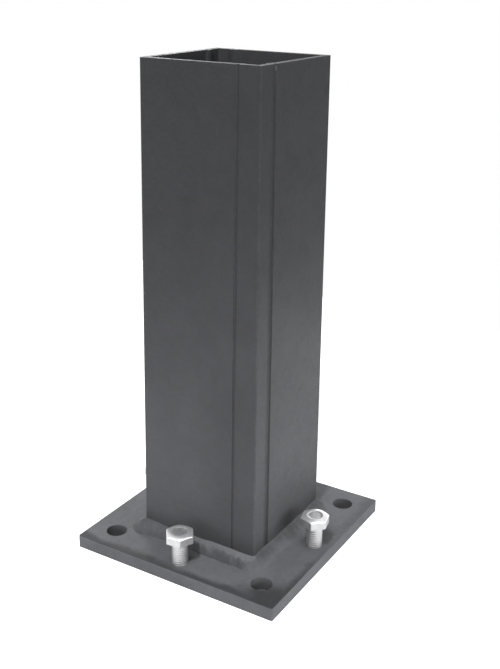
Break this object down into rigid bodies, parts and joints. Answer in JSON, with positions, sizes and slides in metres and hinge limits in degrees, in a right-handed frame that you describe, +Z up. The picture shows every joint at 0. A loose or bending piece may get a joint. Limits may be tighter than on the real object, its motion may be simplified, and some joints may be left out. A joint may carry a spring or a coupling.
{
  "type": "fence post with base plate",
  "caption": "Short square hollow fence post with corner grooves, welded upright on a square base plate with anchor holes and hexagon-head levelling bolts.",
  "frame": {"origin": "centre of the base plate's underside, which rests on the ground", "axes": "+Z up along the post; -Y is the front, the wide face on the left in the picture; +X is the right side, the narrow face on the right in the picture"},
  "size_m": [0.14, 0.14, 0.304],
  "materials": {
    "post_paint": "satin fine-texture powder coat, anthracite grey",
    "plate_paint": "satin fine-texture powder coat, anthracite grey",
    "weld_paint": "satin powder coat over an uneven weld bead",
    "zinc": "bright zinc-plated steel"
  },
  "bodies": {
    "post": {"post_profile": "post_paint", "base_plate": "plate_paint", "weld_bead": "weld_paint"},
    "bolt_front": {"levelling_bolt_front": "zinc"},
    "bolt_right": {"levelling_bolt_right": "zinc"},
    "bolt_back": {"levelling_bolt_back": "zinc"},
    "bolt_left": {"levelling_bolt_left": "zinc"}
  },
  "joints": [
    {"name": "level_front", "type": "slide", "parent": "post", "child": "bolt_front", "axis": [0, 0, 1], "range_m": [-0.0139, 0.0022]},
    {"name": "level_right", "type": "slide", "parent": "post", "child": "bolt_right", "axis": [0, 0, 1], "range_m": [-0.0139, 0.0022]},
    {"name": "level_back", "type": "slide", "parent": "post", "child": "bolt_back", "axis": [0, 0, 1], "range_m": [-0.0139, 0.0022]},
    {"name": "level_left", "type": "slide", "parent": "post", "child": "bolt_left", "axis": [0, 0, 1], "range_m": [-0.0139, 0.0022]}
  ]
}
